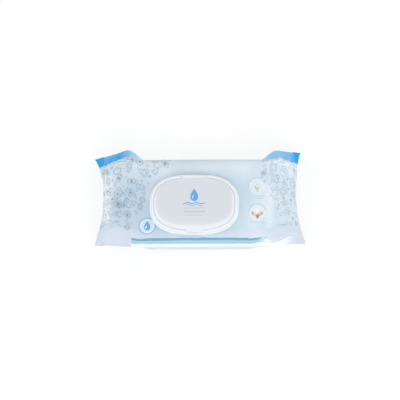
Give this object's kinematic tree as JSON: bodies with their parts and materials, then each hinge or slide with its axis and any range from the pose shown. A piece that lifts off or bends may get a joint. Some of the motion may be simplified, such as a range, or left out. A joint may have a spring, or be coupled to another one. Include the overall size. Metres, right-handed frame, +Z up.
{
  "type": "wet wipes pack",
  "caption": "Soft film pack of wet wipes with crimped end fins, ear-like side folds and a white flip-top lid on a moulded frame.",
  "frame": {"origin": "under the middle of the pack, on the surface that it lies on", "axes": "+X along the pack, +Y to the lid's hinge, +Z up"},
  "size_m": [0.238, 0.1104, 0.0546],
  "materials": {
    "film": "printed satin film",
    "lid_plastic": "satin moulded polypropylene"
  },
  "bodies": {
    "pack": {"film_pack": "film", "lid_frame": "lid_plastic"},
    "lid": {"lid": "lid_plastic"}
  },
  "joints": [
    {"name": "lid_hinge", "type": "hinge", "parent": "pack", "child": "lid", "pos_m": [-0.0061, 0.02, 0.0522], "axis": [-1, 0, 0], "range_deg": [0, 180]}
  ]
}
